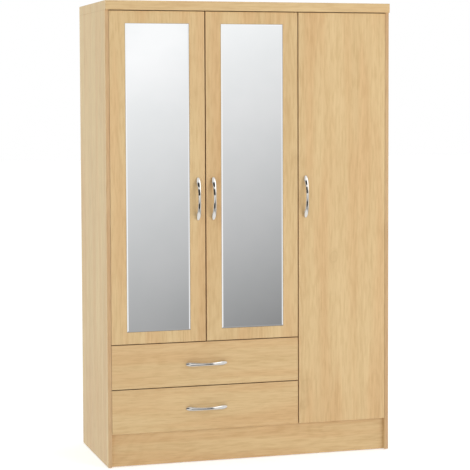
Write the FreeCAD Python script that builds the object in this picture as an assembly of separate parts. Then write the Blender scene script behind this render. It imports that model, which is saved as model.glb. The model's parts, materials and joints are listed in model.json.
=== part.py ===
import FreeCAD, Part
import math
import os

V = FreeCAD.Vector

# ---------------------------------------------------------------- sizes (mm)
# Inner coordinates: x runs right from the left side's outer face, v runs back
# from the front face of the doors, z runs up from the floor.
WIDTH = 1170.0
SIDE_DEPTH = 500.0
HEIGHT = 1820.0
BOARD = 15.0
TOP_THICK = 36.0
TOP_FRONT_OVERHANG = 10.0
HANDLE_STAND = 28.0
GLIDE_HEIGHT = 3.0

PARTITION_X = 775.0
INNER_FRONT = 17.0
BACK_THICK = 3.0
BACK_V = SIDE_DEPTH - BACK_THICK - 0.5
PLINTH_HEIGHT = 130.0
PLINTH_SETBACK = 15.0
BASE_TOP = PLINTH_HEIGHT + BOARD
TOP_UNDER = HEIGHT - TOP_THICK
DRAWER_SHELF_Z = 476.0
HAT_SHELF_Z = 1545.0
HAT_SHELF_FRONT = 30.0
FIXED_SHELF_Z = 960.0
LOOSE_SHELF_Z = (417.0, 689.0, 1377.0)
RAIL_Z = 1487.0
RAIL_V = 250.0

DOOR_THICK = 15.0
DOOR_TOP = 1781.0
LONG_DOOR_BOTTOM = 132.0
MIRROR_DOOR_BOTTOM = 485.0
LEFT_DOOR_X = (16.0, 396.5)
MIDDLE_DOOR_X = (401.0, 780.5)
RIGHT_DOOR_X = (784.5, 1154.0)
MIRROR_SIZE = (254.0, 1200.0)
MIRROR_THICK = 4.0
MIRROR_BEVEL = 5.0
BEVEL_DROP = 1.0
MIRROR_POCKET = 3.5
MIRROR_MARGIN = 48.5

DRAWER_FRONT_X = (16.0, 780.5)
LOWER_FRONT_Z = (132.0, 305.0)
UPPER_FRONT_Z = (308.5, 481.5)
DRAWER_SIDE = 12.0
DRAWER_BOX_HEIGHT = 120.0
DRAWER_BOX_BACK = 435.0
DRAWER_BOX_LIFT = 31.0
RUNNER_SPACE = 12.5

HANDLE_LENGTH = 168.0
HANDLE_CENTRES = 128.0
DOOR_HANDLE_Z = 1048.0
DOOR_HANDLE_INSET = 29.0

HINGE_CUP_U = 22.0
HINGE_CUP_RADIUS = 17.4
HINGE_NOSE = (18.0, 20.0)
HINGE_LINK_END = (35.0, 9.7)
MIRROR_DOOR_HINGES = (575.0, 1132.5, 1690.0)
LONG_DOOR_HINGES = (232.0, 760.0, 1180.0, 1690.0)

ROLLER_RADIUS = 10.0
ROLLER_DROP = 5.5
FRONT_ROLLER_V = 45.0
REAR_ROLLER_V = 415.0

HALF_WIDTH = WIDTH / 2.0
FRONT_Y = -(SIDE_DEPTH + HANDLE_STAND) / 2.0 + HANDLE_STAND

# Solids of every piece, and the drillings that are cut from it.
SOLIDS = {}
CUTS = {}


# ---------------------------------------------------------------- helpers
def point(x, v, z):
    return V(x - HALF_WIDTH, FRONT_Y + v, z)


def box(x0, x1, v0, v1, z0, z1):
    corner = point(min(x0, x1), min(v0, v1), min(z0, z1))
    return Part.makeBox(abs(x1 - x0), abs(v1 - v0), abs(z1 - z0), corner)


def rod(start, direction, radius, length):
    return Part.makeCylinder(radius, length, start, direction)


def rod_x(x0, x1, v, z, radius):
    return rod(point(min(x0, x1), v, z), V(1, 0, 0), radius, abs(x1 - x0))


def rod_v(v0, v1, x, z, radius):
    return rod(point(x, min(v0, v1), z), V(0, 1, 0), radius, abs(v1 - v0))


def rod_z(z0, z1, x, v, radius):
    return rod(point(x, v, min(z0, z1)), V(0, 0, 1), radius, abs(z1 - z0))


def fuse(shapes):
    result = shapes[0]
    if len(shapes) > 1:
        result = result.multiFuse(shapes[1:])
    return result.removeSplitter()


def add(node, shape):
    SOLIDS.setdefault(node, []).append(shape)


def cut(node, shape):
    CUTS.setdefault(node, []).append(shape)


def prism(points, z0, z1):
    """Upright prism over a list of (x, v) corners."""
    corners = [point(x, v, z0) for x, v in points]
    face = Part.Face(Part.makePolygon(corners + [corners[0]]))
    return face.extrude(V(0, 0, z1 - z0))


# ---------------------------------------------------------------- fixings
def place_along(shape, origin, along, out):
    """Turn a shape whose +X is the bolt and +Z the cam's open side."""
    side = out.cross(along)
    turn = FreeCAD.Matrix(
        along.x, side.x, out.x, origin.x,
        along.y, side.y, out.y, origin.y,
        along.z, side.z, out.z, origin.z,
        0, 0, 0, 1)
    return shape.transformGeometry(turn) if False else shape.transformed(turn, True)


def cam_joint(nodes, bolt_panel, cam_panel, origin, along, out, thick):
    """One bolt and its cam: the bolt is screwed into one board, the cam sits in the other."""
    half = thick / 2.0
    cam_height = thick - 3.5
    x_axis = V(1, 0, 0)
    bolt = fuse([
        Part.makeCylinder(2.4, 9.5, V(-9.5, 0, 0), x_axis),
        Part.makeCylinder(3.2, 20.0, V(0, 0, 0), x_axis),
        Part.makeCylinder(1.7, 7.2, V(20, 0, 0), x_axis),
        Part.makeCylinder(2.8, 3.3, V(27.2, 0, 0), x_axis)])
    cam = Part.makeCylinder(7.3, cam_height, V(34, 0, half - cam_height))
    slot = Part.makeBox(11.0, 6.4, half + 3.2 - 2.5, V(26, -3.2, -half - 0.7 + 0.0))
    slot = Part.makeBox(11.0, 6.4, 3.2 + cam_height, V(26, -3.2, 3.2 - 3.2 - cam_height))
    cross = Part.makeBox(9.0, 1.4, 1.6, V(29.5, -0.7, half - 1.6))
    cam = cam.cut(slot).cut(cross)
    thread_hole = Part.makeCylinder(2.5, 10.5, V(-10.5, 0, 0), x_axis)
    bolt_hole = Part.makeCylinder(3.5, 27.5, V(0, 0, 0), x_axis)
    cam_hole = Part.makeCylinder(7.5, cam_height + 0.6, V(34, 0, half - cam_height - 0.6))
    add(nodes[0], place_along(bolt, origin, along, out))
    add(nodes[1], place_along(cam, origin, along, out))
    cut(bolt_panel, place_along(thread_hole, origin, along, out))
    cut(cam_panel, place_along(bolt_hole, origin, along, out))
    cut(cam_panel, place_along(cam_hole, origin, along, out))


def dowel(node, face_panel, edge_panel, origin, along):
    pin = rod(origin - along * 9.0, along, 3.9, 28.0)
    hole_in_face = rod(origin - along * 10.0, along, 4.0, 10.0)
    hole_in_edge = rod(origin, along, 4.0, 20.0)
    add(node, pin)
    cut(face_panel, hole_in_face)
    cut(edge_panel, hole_in_edge)


def screw(node, panels, tip, direction, radius, length, head_radius, head):
    """Screw from its tip to its head; direction points from the head towards the tip."""
    start = tip - direction * length
    shank = rod(start, direction, radius, length)
    cap = Part.makeCone(head_radius * 0.82, head_radius, head, start - direction * head, direction)
    add(node, fuse([shank, cap]))
    for panel in panels:
        cut(panel, rod(start, direction, radius + 0.05, length + 0.5))


# ---------------------------------------------------------------- carcass
CARCASS_CAMS = ("cam_bolts", "cam_locks")
CAM_V = (60.0, 430.0)
DOWEL_V = (100.0, 390.0)
RIGHT, LEFT = V(1, 0, 0), V(-1, 0, 0)
BACKWARD, FORWARD = V(0, 1, 0), V(0, -1, 0)
UP, DOWN = V(0, 0, 1), V(0, 0, -1)
INNER_LEFT = BOARD
INNER_RIGHT = WIDTH - BOARD
PARTITION_RIGHT = PARTITION_X + BOARD


def make_boards():
    add("left_side_panel", box(0, BOARD, 0, SIDE_DEPTH, GLIDE_HEIGHT, TOP_UNDER))
    add("right_side_panel", box(INNER_RIGHT, WIDTH, 0, SIDE_DEPTH, GLIDE_HEIGHT, TOP_UNDER))
    add("centre_partition",
        box(PARTITION_X, PARTITION_RIGHT, INNER_FRONT, BACK_V, BASE_TOP, TOP_UNDER))
    add("top_panel", box(0, WIDTH, -TOP_FRONT_OVERHANG, SIDE_DEPTH, TOP_UNDER, HEIGHT))
    add("base_panel", box(INNER_LEFT, INNER_RIGHT, INNER_FRONT, BACK_V, PLINTH_HEIGHT, BASE_TOP))
    add("front_plinth", box(INNER_LEFT, INNER_RIGHT, PLINTH_SETBACK, PLINTH_SETBACK + BOARD,
                            GLIDE_HEIGHT, PLINTH_HEIGHT))
    add("rear_plinth", box(INNER_LEFT, INNER_RIGHT, 460, 475, GLIDE_HEIGHT, PLINTH_HEIGHT))
    add("plinth_stretcher", box(PARTITION_X, PARTITION_RIGHT, PLINTH_SETBACK + BOARD, 460,
                                GLIDE_HEIGHT, PLINTH_HEIGHT))
    add("drawer_bay_shelf", box(INNER_LEFT, PARTITION_X, INNER_FRONT, BACK_V,
                                DRAWER_SHELF_Z, DRAWER_SHELF_Z + BOARD))
    add("hat_shelf", box(INNER_LEFT, PARTITION_X, HAT_SHELF_FRONT, BACK_V,
                         HAT_SHELF_Z, HAT_SHELF_Z + BOARD))
    add("right_fixed_shelf", box(PARTITION_RIGHT, INNER_RIGHT, HAT_SHELF_FRONT, BACK_V,
                                 FIXED_SHELF_Z, FIXED_SHELF_Z + BOARD))


def join_shelf(shelf, left_panel, right_panel, x0, x1, z):
    """Cams under a shelf and dowels beside them, at both ends."""
    mid = z + BOARD / 2.0
    for panel, x, along in ((left_panel, x0, RIGHT), (right_panel, x1, LEFT)):
        for v in CAM_V:
            cam_joint(CARCASS_CAMS, panel, shelf, point(x, v, mid), along, DOWN, BOARD)
        for v in DOWEL_V:
            dowel("dowels", panel, shelf, point(x, v, mid), along)


def join_upright(upright, level_panel, x, z, along, out):
    """Cams in the face of an upright board, bolts in the board above or below it."""
    for v in CAM_V:
        cam_joint(CARCASS_CAMS, level_panel, upright, point(x, v, z), along, out, BOARD)
    for v in DOWEL_V:
        dowel("dowels", level_panel, upright, point(x, v, z), along)


def join_boards():
    join_shelf("base_panel", "left_side_panel", "right_side_panel",
               INNER_LEFT, INNER_RIGHT, PLINTH_HEIGHT)
    join_shelf("drawer_bay_shelf", "left_side_panel", "centre_partition",
               INNER_LEFT, PARTITION_X, DRAWER_SHELF_Z)
    join_shelf("hat_shelf", "left_side_panel", "centre_partition",
               INNER_LEFT, PARTITION_X, HAT_SHELF_Z)
    join_shelf("right_fixed_shelf", "centre_partition", "right_side_panel",
               PARTITION_RIGHT, INNER_RIGHT, FIXED_SHELF_Z)
    half = BOARD / 2.0
    join_upright("left_side_panel", "top_panel", half, TOP_UNDER, DOWN, RIGHT)
    join_upright("right_side_panel", "top_panel", WIDTH - half, TOP_UNDER, DOWN, LEFT)
    join_upright("centre_partition", "top_panel", PARTITION_X + half, TOP_UNDER, DOWN, RIGHT)
    join_upright("centre_partition", "base_panel", PARTITION_X + half, BASE_TOP, UP, RIGHT)


def join_plinths():
    front = PLINTH_SETBACK + BOARD / 2.0
    rear = 460 + BOARD / 2.0
    for plinth, v, out in (("front_plinth", front, BACKWARD), ("rear_plinth", rear, FORWARD)):
        for panel, x, along in (("left_side_panel", INNER_LEFT, RIGHT),
                                ("right_side_panel", INNER_RIGHT, LEFT)):
            cam_joint(CARCASS_CAMS, panel, plinth, point(x, v, 90), along, out, BOARD)
            dowel("dowels", panel, plinth, point(x, v, 35), along)
    x = PARTITION_X + BOARD / 2.0
    for plinth, v, along in (("front_plinth", PLINTH_SETBACK + BOARD, BACKWARD),
                             ("rear_plinth", 460, FORWARD)):
        cam_joint(CARCASS_CAMS, plinth, "plinth_stretcher", point(x, v, 90), along, RIGHT, BOARD)
        dowel("dowels", plinth, "plinth_stretcher", point(x, v, 35), along)


def make_back():
    """Two thin back boards in rebates, nailed on, meeting behind the partition."""
    middle = PARTITION_X + BOARD / 2.0
    low = PLINTH_HEIGHT + 1.0
    high = TOP_UNDER + 9.5
    rebate = TOP_UNDER + 10.0
    back = BACK_V + BACK_THICK
    cut("left_side_panel", box(8, BOARD, BACK_V, SIDE_DEPTH, PLINTH_HEIGHT, TOP_UNDER))
    cut("right_side_panel", box(INNER_RIGHT, WIDTH - 8, BACK_V, SIDE_DEPTH, PLINTH_HEIGHT, TOP_UNDER))
    cut("top_panel", box(8, WIDTH - 8, BACK_V, SIDE_DEPTH, TOP_UNDER, rebate))
    add("back_panel_left", box(8.3, middle - 0.2, BACK_V, back, low, high))
    add("back_panel_right", box(middle + 0.2, WIDTH - 8.3, BACK_V, back, low, high))
    nail_rows = (("back_panel_left", "left_side_panel", 11.5),
                 ("back_panel_left", "centre_partition", middle - 3.8),
                 ("back_panel_right", "centre_partition", middle + 3.8),
                 ("back_panel_right", "right_side_panel", WIDTH - 11.5))
    for panel, board, x in nail_rows:
        for step in range(8):
            nail(panel, board, x, 200.0 + step * 213.0)
    for panel, xs in (("back_panel_left", (180, 340, 500, 660)), ("back_panel_right", (900, 1045))):
        for x in xs:
            nail(panel, "base_panel", x, PLINTH_HEIGHT + 8)
            nail(panel, "top_panel", x, TOP_UNDER + 5)


def nail(panel, board, x, z):
    back = BACK_V + BACK_THICK
    shank = rod_v(BACK_V - 11, back, x, z, 0.8)
    head = rod_v(back, back + 0.5, x, z, 1.9)
    add("back_nails", fuse([shank, head]))
    cut(panel, rod_v(BACK_V, back + 1, x, z, 0.85))
    cut(board, rod_v(BACK_V - 11.5, BACK_V, x, z, 0.85))


def make_glides():
    places = [(x, v, panel) for x, panel in ((7.5, "left_side_panel"), (WIDTH - 7.5, "right_side_panel"))
              for v in (40, 455)]
    places += [(x, PLINTH_SETBACK + 7.5, "front_plinth") for x in (300, 870)]
    places += [(x, 467.5, "rear_plinth") for x in (300, 870)]
    places += [(PARTITION_X + 7.5, v, "plinth_stretcher") for v in (160, 330)]
    for x, v, panel in places:
        foot = rod_z(0, GLIDE_HEIGHT, x, v, 7.0)
        pin = rod_z(GLIDE_HEIGHT, GLIDE_HEIGHT + 12, x, v, 1.2)
        add("floor_glides", fuse([foot, pin]))
        cut(panel, rod_z(GLIDE_HEIGHT - 1, GLIDE_HEIGHT + 13, x, v, 1.25))


def make_loose_shelves():
    for z in LOOSE_SHELF_Z:
        add("right_loose_shelves",
            box(PARTITION_RIGHT + 1, INNER_RIGHT - 1, HAT_SHELF_FRONT, BACK_V - 2, z, z + BOARD))
        for v in (85, 420):
            shelf_pin("centre_partition", PARTITION_RIGHT, 1, v, z)
            shelf_pin("right_side_panel", INNER_RIGHT, -1, v, z)
            for step in (-2, -1, 1, 2):
                hole_z = z - 2.6 + 32.0 * step
                cut("centre_partition", rod_x(PARTITION_RIGHT - 8, PARTITION_RIGHT, v, hole_z, 2.5))
                cut("right_side_panel", rod_x(INNER_RIGHT, INNER_RIGHT + 8, v, hole_z, 2.5))


def shelf_pin(panel, x, way, v, z):
    centre = z - 2.6
    pin = rod_x(x - 7.5 * way, x + 8 * way, v, centre, 2.45)
    collar = rod_x(x, x + 0.9 * way, v, centre, 2.55)
    pad = box(x, x + 8 * way, v - 2.4, v + 2.4, centre, z - 0.05)
    add("shelf_pins", fuse([pin, collar, pad]))
    cut(panel, rod_x(x - 8 * way, x, v, centre, 2.5))


def oval_along_x(x0, x1, half_wide, half_high, v, z):
    straight = half_high - half_wide
    body = box(x0, x1, v - half_wide, v + half_wide, z - straight, z + straight)
    ends = [rod_x(x0, x1, v, z + way * straight, half_wide) for way in (-1, 1)]
    return fuse([body] + ends)


def make_hanging_rail():
    tube = oval_along_x(INNER_LEFT + 2.5, PARTITION_X - 2.5, 7.5, 15.0, RAIL_V, RAIL_Z)
    bore = oval_along_x(INNER_LEFT, PARTITION_X, 6.3, 13.8, RAIL_V, RAIL_Z)
    add("hanging_rail", tube.cut(bore))
    for panel, x, way in (("left_side_panel", INNER_LEFT, 1), ("centre_partition", PARTITION_X, -1)):
        plate = oval_along_x(x, x + 2.2 * way, 12.0, 27.0, RAIL_V, RAIL_Z)
        cup = oval_along_x(x, x + 14.0 * way, 9.2, 16.7, RAIL_V, RAIL_Z)
        hollow = oval_along_x(x + 2.2 * way, x + 15.0 * way, 7.7, 15.2, RAIL_V, RAIL_Z)
        socket = fuse([plate, cup]).cut(hollow)
        for z in (RAIL_Z - 21.5, RAIL_Z + 21.5):
            socket = socket.cut(rod_x(x - way, x + 5 * way, RAIL_V, z, 2.1))
            screw("carcass_screws", [panel], point(x - 10.0 * way, RAIL_V, z), V(-way, 0, 0),
                  1.9, 12.2, 3.8, 1.8)
        add("rail_sockets", socket)


def make_wall_brackets():
    for panel, x in (("back_panel_left", 395.0), ("back_panel_right", 972.5)):
        flat = box(x - 15, x + 15, BACK_V - 40, BACK_V, TOP_UNDER - 2, TOP_UNDER)
        upright = box(x - 15, x + 15, BACK_V - 2, BACK_V, TOP_UNDER - 42, TOP_UNDER)
        bracket = fuse([flat, upright])
        bracket = bracket.cut(rod_v(BACK_V - 5, BACK_V + 1, x, TOP_UNDER - 24, 2.75))
        for v in (BACK_V - 30, BACK_V - 14):
            bracket = bracket.cut(rod_z(TOP_UNDER - 3, TOP_UNDER + 1, x, v, 2.1))
            screw("carcass_screws", ["top_panel"], point(x, v, TOP_UNDER + 14), UP, 1.9, 16.0, 3.8, 1.8)
        add("wall_brackets", bracket)
        cut(panel, rod_v(BACK_V - 1, BACK_V + 4, x, TOP_UNDER - 24, 4.0))


# ---------------------------------------------------------------- hinges
class Hinge:
    """Positions measured u into the door from its hinged edge."""

    def __init__(self, edge_x, way, wall_x, wall):
        self.edge_x = edge_x
        self.way = way
        self.wall = wall
        self.wall_u = (wall_x - edge_x) * way

    def x(self, u):
        return self.edge_x + self.way * u

    def box(self, u0, u1, v0, v1, z0, z1):
        return box(self.x(u0), self.x(u1), v0, v1, z0, z1)

    def prism(self, points, z0, z1):
        corners = [(self.x(u), v) for u, v in points]
        if self.way < 0:
            corners.reverse()
        return prism(corners, z0, z1)

    def rod_z(self, u, v, z0, z1, radius):
        return rod_z(z0, z1, self.x(u), v, radius)

    def rod_v(self, u, v0, v1, z, radius):
        return rod_v(v0, v1, self.x(u), z, radius)

    def rod_u(self, u0, u1, v, z, radius):
        return rod_x(self.x(u0), self.x(u1), v, z, radius)


def make_hinge_plate(hinge, z):
    wall = hinge.wall_u
    wings = hinge.box(wall, wall + 1.6, 46, 60, z - 24, z + 24)
    block = hinge.box(wall, wall + 5.5, 40, 78, z - 6.8, z + 6.8)
    plate = fuse([wings, block])
    inward = V(-hinge.way, 0, 0)
    for dz in (-16, 16):
        plate = plate.cut(hinge.rod_u(wall - 1, wall + 3, 53, z + dz, 2.1))
        screw("carcass_screws", [hinge.wall], point(hinge.x(wall - 11), 53, z + dz),
              inward, 1.9, 12.6, 3.6, 1.6)
    add("hinge_plates", plate)


def make_hinge_arm(name, hinge, z):
    """Cranked channel over the plate, with two ears that carry the link's pin."""
    wall = hinge.wall_u
    nose_u, nose_v = HINGE_NOSE
    web = [(wall + 5.7, 82), (wall + 7.4, 82), (wall + 7.4, 47), (15.6, 35), (15.6, 31),
           (13.6, 31), (13.6, 34.4), (wall + 5.7, 46)]
    shapes = [hinge.prism(web, z - 8.7, z + 8.7)]
    for way in (-1, 1):
        low, high = sorted((z + way * 7.0, z + way * 8.7))
        shapes.append(hinge.box(wall + 1.8, wall + 6.5, 49, 82, low, high))
        low, high = sorted((z + way * 5.2, z + way * 6.9))
        ear = [(13.6, 38), (15.6, 38), (nose_u + 3.8, nose_v), (nose_u - 3.8, nose_v)]
        shapes.append(hinge.prism(ear, low, high))
        shapes.append(hinge.rod_z(nose_u, nose_v, low, high, 3.8))
    for v in (55, 70):
        shapes.append(hinge.rod_u(wall + 7.0, wall + 8.8, v, z, 3.2))
    shapes.append(hinge.rod_z(nose_u, nose_v, z - 6.9, z + 6.9, 2.0))
    add(name, fuse(shapes))


def make_hinge_link(name, hinge, z):
    """Flat link from the arm's nose into the cup."""
    (nu, nv), (eu, ev) = HINGE_NOSE, HINGE_LINK_END
    length = ((eu - nu) ** 2 + (ev - nv) ** 2) ** 0.5
    du, dv = -(ev - nv) / length * 2.0, (eu - nu) / length * 2.0
    bar = [(nu + du, nv + dv), (eu + du, ev + dv), (eu - du, ev - dv), (nu - du, nv - dv)]
    bar.reverse()
    low, high = z - 4.5, z + 4.5
    link = fuse([hinge.prism(bar, low, high), hinge.rod_z(nu, nv, low, high, 3.2),
                 hinge.rod_z(eu, ev, low, high, 2.4)])
    add(name, link.cut(hinge.rod_z(nu, nv, low - 1, high + 1, 2.3)))


def make_hinge_cup(name, door, hinge, z):
    hole = hinge.rod_v(HINGE_CUP_U, 3.5, DOOR_THICK, z, HINGE_CUP_RADIUS + 0.1)
    cut(door, hole)
    back = DOOR_THICK
    cup = fuse([
        hinge.rod_v(HINGE_CUP_U, 3.7, back, z, HINGE_CUP_RADIUS),
        hinge.rod_v(HINGE_CUP_U, back, back + 0.8, z, HINGE_CUP_RADIUS + 1.2),
        hinge.box(20, 34, back, back + 0.8, z - 25, z + 25),
        hinge.rod_v(27, back, back + 0.8, z - 25, 7.0),
        hinge.rod_v(27, back, back + 0.8, z + 25, 7.0)])
    cup = cup.cut(hinge.rod_v(HINGE_CUP_U, 4.4, back + 2, z, HINGE_CUP_RADIUS - 0.7))
    for dz in (-24, 24):
        cup = cup.cut(hinge.rod_v(27.5, back - 1, back + 2, z + dz, 2.1))
        screw(name, [door], point(hinge.x(27.5), 5.0, z + dz),
              FORWARD, 1.8, back + 0.8 - 5.0, 3.4, 1.4)
    add(name, cup)


# ---------------------------------------------------------------- handles
# Half of the bow, from its tip to its middle: distance along, height of the
# centre line, width and thickness.
BOW = ((84, 2.2, 6.0, 2.6), (80, 4.2, 10.8, 3.6), (72, 8.6, 14.4, 4.4), (60, 14.4, 14.8, 4.8),
       (42, 20.6, 12.6, 4.8), (20, 24.6, 10.8, 4.8), (0, 25.6, 10.4, 4.8))


def bow_stations():
    other_half = [(-s, h, w, t) for s, h, w, t in BOW[-2::-1]]
    return list(BOW) + other_half


def make_handle(name, screws, panel, x, z, along, across):
    """Bow handle on two short posts, held by two screws from behind the board."""
    out = V(0, -1, 0)
    middle = point(x, 0, z)
    stations = bow_stations()
    wires = []
    for i, (s, h, w, t) in enumerate(stations):
        before = stations[max(i - 1, 0)]
        after = stations[min(i + 1, len(stations) - 1)]
        tangent = along * (after[0] - before[0]) + out * (after[1] - before[1])
        tangent.normalize()
        normal = tangent.cross(across)
        centre = middle + along * s + out * h
        turn = FreeCAD.Matrix(
            across.x, normal.x, tangent.x, centre.x,
            across.y, normal.y, tangent.y, centre.y,
            across.z, normal.z, tangent.z, centre.z,
            0, 0, 0, 1)
        wire = Part.Wire(Part.Ellipse(V(0, 0, 0), w / 2.0, t / 2.0).toShape())
        wire.Placement = FreeCAD.Placement(turn)
        wires.append(wire)
    shapes = [Part.makeLoft(wires, True)]
    for way in (-1, 1):
        foot = middle + along * (way * HANDLE_CENTRES / 2.0)
        shapes.append(rod(foot, out, 5.0, 11.5))
    handle = fuse(shapes)
    for way in (-1, 1):
        foot = middle + along * (way * HANDLE_CENTRES / 2.0)
        handle = handle.cut(rod(foot, out, 2.0, 9.0))
        screw(screws, [panel], foot + out * 8.5, out, 1.9, DOOR_THICK + 8.5, 3.9, 1.7)
    add(name, handle)


# ---------------------------------------------------------------- doors
def make_mirror(door, name, x0, x1):
    """Bevelled mirror set into a shallow pocket in the door."""
    wide, high = MIRROR_SIZE
    x0 = (x0 + x1 - wide) / 2.0
    z1 = DOOR_TOP - MIRROR_MARGIN
    z0 = z1 - high
    front = MIRROR_POCKET - MIRROR_THICK
    edge = front + BEVEL_DROP
    slab = box(x0, x0 + wide, edge, MIRROR_POCKET, z0, z1)
    rims = []
    for inset, v in ((0.0, edge), (MIRROR_BEVEL, front)):
        corners = [point(x0 + inset, v, z0 + inset), point(x0 + wide - inset, v, z0 + inset),
                   point(x0 + wide - inset, v, z1 - inset), point(x0 + inset, v, z1 - inset)]
        rims.append(Part.makePolygon(corners + [corners[0]]))
    add(name, fuse([slab, Part.makeLoft(rims, True, True)]))
    cut(door, box(x0 - 1, x0 + wide + 1, -1, MIRROR_POCKET, z0 - 1, z1 + 1))


def make_door(side, span, bottom, hinge, heights, handle_x):
    panel = side + "_door_panel"
    fittings = side + "_door_fittings"
    add(panel, box(span[0], span[1], 0, DOOR_THICK, bottom, DOOR_TOP))
    if bottom > 400:
        make_mirror(panel, side + "_door_mirror", span[0], span[1])
    for z in heights:
        make_hinge_plate(hinge, z)
        make_hinge_arm("hinge_arms", hinge, z)
        make_hinge_link(side + "_hinge_links", hinge, z)
        make_hinge_cup(fittings, panel, hinge, z)
    make_handle(side + "_door_handle", fittings, panel, handle_x, DOOR_HANDLE_Z, UP, RIGHT)


def make_doors():
    inset = DOOR_HANDLE_INSET
    left = Hinge(LEFT_DOOR_X[0], 1, INNER_LEFT, "left_side_panel")
    middle = Hinge(MIDDLE_DOOR_X[1], -1, PARTITION_X, "centre_partition")
    right = Hinge(RIGHT_DOOR_X[1], -1, INNER_RIGHT, "right_side_panel")
    make_door("left", LEFT_DOOR_X, MIRROR_DOOR_BOTTOM, left, MIRROR_DOOR_HINGES,
              LEFT_DOOR_X[1] - inset)
    make_door("middle", MIDDLE_DOOR_X, MIRROR_DOOR_BOTTOM, middle, MIRROR_DOOR_HINGES,
              MIDDLE_DOOR_X[0] + inset)
    make_door("right", RIGHT_DOOR_X, LONG_DOOR_BOTTOM, right, LONG_DOOR_HINGES,
              RIGHT_DOOR_X[0] + inset)


# ---------------------------------------------------------------- drawers
def make_drawer_box(name, front_z):
    """Front, two sides, back and thin base, with their fixings."""
    front, sides, back, base = [name + "_" + word for word in ("front", "sides", "back", "base")]
    fixings = name + "_fixings"
    low = front_z[0] + DRAWER_BOX_LIFT
    high = low + DRAWER_BOX_HEIGHT
    rear = DRAWER_BOX_BACK
    left = INNER_LEFT + RUNNER_SPACE
    right = PARTITION_X - RUNNER_SPACE
    inner_left = left + DRAWER_SIDE
    inner_right = right - DRAWER_SIDE
    add(front, box(DRAWER_FRONT_X[0], DRAWER_FRONT_X[1], 0, DOOR_THICK, front_z[0], front_z[1]))
    add(sides, box(left, inner_left, DOOR_THICK, rear, low, high))
    add(sides, box(inner_right, right, DOOR_THICK, rear, low, high))
    add(back, box(inner_left, inner_right, rear - DRAWER_SIDE, rear, low + 12, high - 5))
    add(base, box(inner_left - 4.8, inner_right + 4.8, DOOR_THICK - 4.8, rear - 0.5, low + 8, low + 11))
    groove = box(inner_left - 5, inner_right + 5, DOOR_THICK - 5, rear, low + 7.9, low + 11.1)
    cut(front, groove)
    cut(sides, groove)
    for x, out in ((left + DRAWER_SIDE / 2.0, RIGHT), (right - DRAWER_SIDE / 2.0, LEFT)):
        cam_joint((fixings, fixings), front, sides, point(x, DOOR_THICK, low + 65),
                  BACKWARD, out, DRAWER_SIDE)
        for dz in (35, 95):
            dowel(fixings, front, sides, point(x, DOOR_THICK, low + dz), BACKWARD)
    for x, way in ((left, RIGHT), (right, LEFT)):
        for dz in (40, 90):
            seat = point(x, rear - DRAWER_SIDE / 2.0, low + dz)
            screw(fixings, [sides, back], seat + way * 34, way, 1.9, 34, 3.6, 1.6)
    for step in range(5):
        x = inner_left + 70 + step * 142.75
        tip = point(x, rear - DRAWER_SIDE / 2.0, low + 22)
        screw(fixings, [base, back], tip, UP, 0.9, 14, 2.0, 0.6)
    x = (DRAWER_FRONT_X[0] + DRAWER_FRONT_X[1]) / 2.0
    z = (front_z[0] + front_z[1]) / 2.0
    make_handle(name + "_handle", fixings, front, x, z, RIGHT, UP)
    return low


def make_runners(name, low):
    """Roller runners: a fixed member on the carcass and a moving member under each side."""
    axle_z = low - ROLLER_DROP
    for wall, way, panel in ((INNER_LEFT, 1, "left_side_panel"), (PARTITION_X, -1, "centre_partition")):
        def part(d0, d1, v0, v1, z0, z1):
            return box(wall + way * d0, wall + way * d1, v0, v1, low + z0, low + z1)

        def axle(d0, d1, v, radius):
            return rod_x(wall + way * d0, wall + way * d1, v, axle_z, radius)

        fixed = fuse([part(0, 1.2, 20, 431.2, -17, 12), part(0, 10.5, 20, 431.2, -17, -15.8),
                      part(0, 10.5, 430, 431.2, -17, -8),
                      axle(0.6, 9.9, FRONT_ROLLER_V, 2.2), axle(9.5, 10.4, FRONT_ROLLER_V, 4.0)])
        moving = fuse([part(11.2, 12.5, 18, 430, -1.2, 20), part(11.2, 22.0, 18, 430, -1.2, 0),
                       part(3.0, 12.0, 18, 428, 4.8, 6.0), part(11.2, 12.5, 402, 428, -13, 0),
                       axle(2.6, 11.6, REAR_ROLLER_V, 2.2), axle(2.0, 2.9, REAR_ROLLER_V, 4.0)])
        outward = V(-way, 0, 0)
        for v in (75, 230, 395):
            seat = point(wall + way * 1.2, v, low + 8.7)
            fixed = fixed.cut(rod(seat - outward * 3, outward, 2.1, 6))
            screw("carcass_screws", [panel], seat + outward * 11, outward, 1.9, 11, 2.6, 1.1)
        for v in (60, 370):
            seat = point(wall + way * 16.5, v, low - 1.2)
            moving = moving.cut(rod(seat + DOWN, UP, 1.6, 3))
            screw(name + "_fixings", [name + "_sides"], seat + UP * 14, UP, 1.4, 14, 2.6, 1.1)
        add("cabinet_runners", fixed)
        add(name + "_runners", moving)
        for node, v, d0, d1 in ((name + "_front_rollers", FRONT_ROLLER_V, 2.0, 9.2),
                                (name + "_rear_rollers", REAR_ROLLER_V, 3.2, 10.4)):
            add(node, axle(d0, d1, v, ROLLER_RADIUS).cut(axle(d0 - 1, d1 + 1, v, 2.5)))


def make_drawers():
    for name, front_z in (("lower_drawer", LOWER_FRONT_Z), ("upper_drawer", UPPER_FRONT_Z)):
        low = make_drawer_box(name, front_z)
        make_runners(name, low)


# ---------------------------------------------------------------- build
def export_parts():
    os.makedirs("parts", exist_ok=True)
    for node in sorted(SOLIDS):
        finished = []
        for shape in SOLIDS[node]:
            if node in CUTS:
                shape = shape.cut(CUTS[node])
            finished.extend(shape.Solids)
        whole = Part.makeCompound(finished) if len(finished) > 1 else finished[0]
        whole.exportStep("parts/" + node + ".step")


make_boards()
join_boards()
join_plinths()
make_back()
make_glides()
make_loose_shelves()
make_hanging_rail()
make_wall_brackets()
make_doors()
make_drawers()
export_parts()
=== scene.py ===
import json
import math

import bmesh
import bpy
from mathutils import Matrix, Vector


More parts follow.
